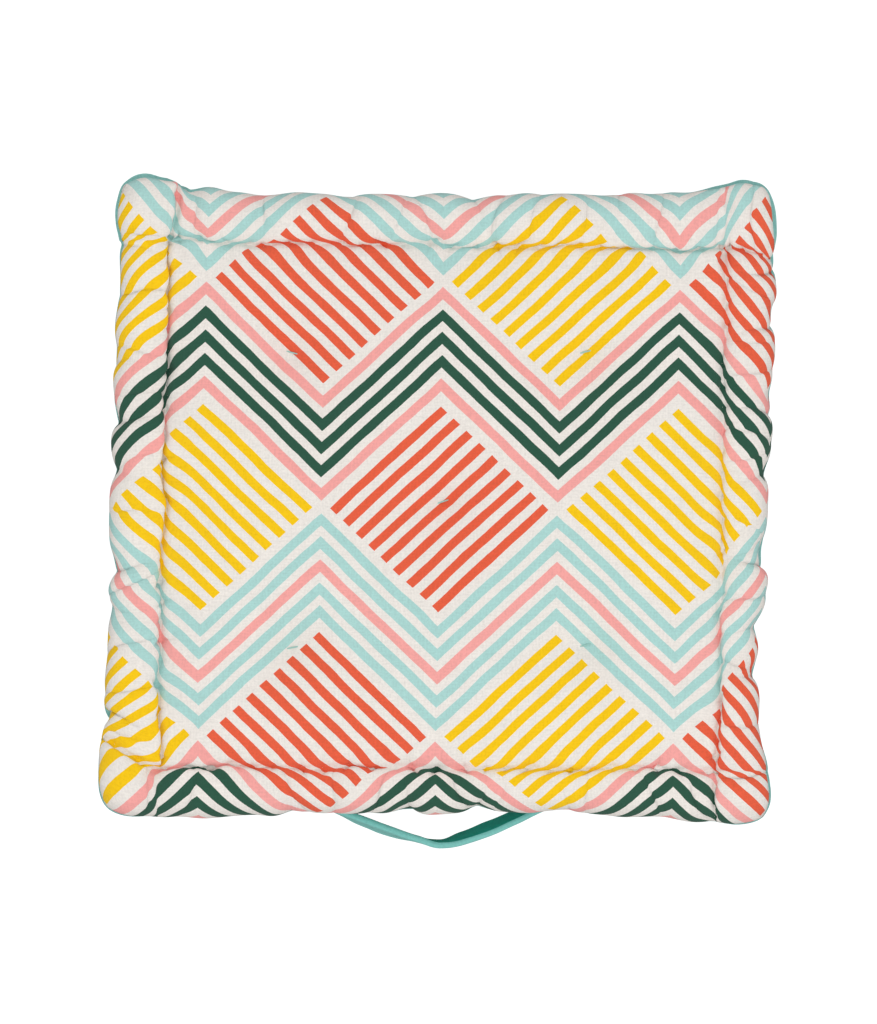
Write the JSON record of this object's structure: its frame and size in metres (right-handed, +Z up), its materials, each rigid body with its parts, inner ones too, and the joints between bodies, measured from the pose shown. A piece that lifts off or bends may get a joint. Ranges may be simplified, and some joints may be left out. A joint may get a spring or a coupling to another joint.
{
  "type": "chair pad",
  "caption": "Square box chair pad with rolled stitched edges, tufted printed cotton top, plain teal sides and a carry strap at the front.",
  "frame": {"origin": "on the underside, at the middle of the box round the pad and its strap", "axes": "+Z up out of the printed top, +X to the right along the front edge, -Y towards the front side that carries the strap"},
  "size_m": [0.4084, 0.4047, 0.0839],
  "materials": {
    "printed_cotton": "matte",
    "teal_cotton": "matte"
  },
  "bodies": {
    "root": {"pad": "printed_cotton", "handle": "teal_cotton"}
  },
  "joints": []
}
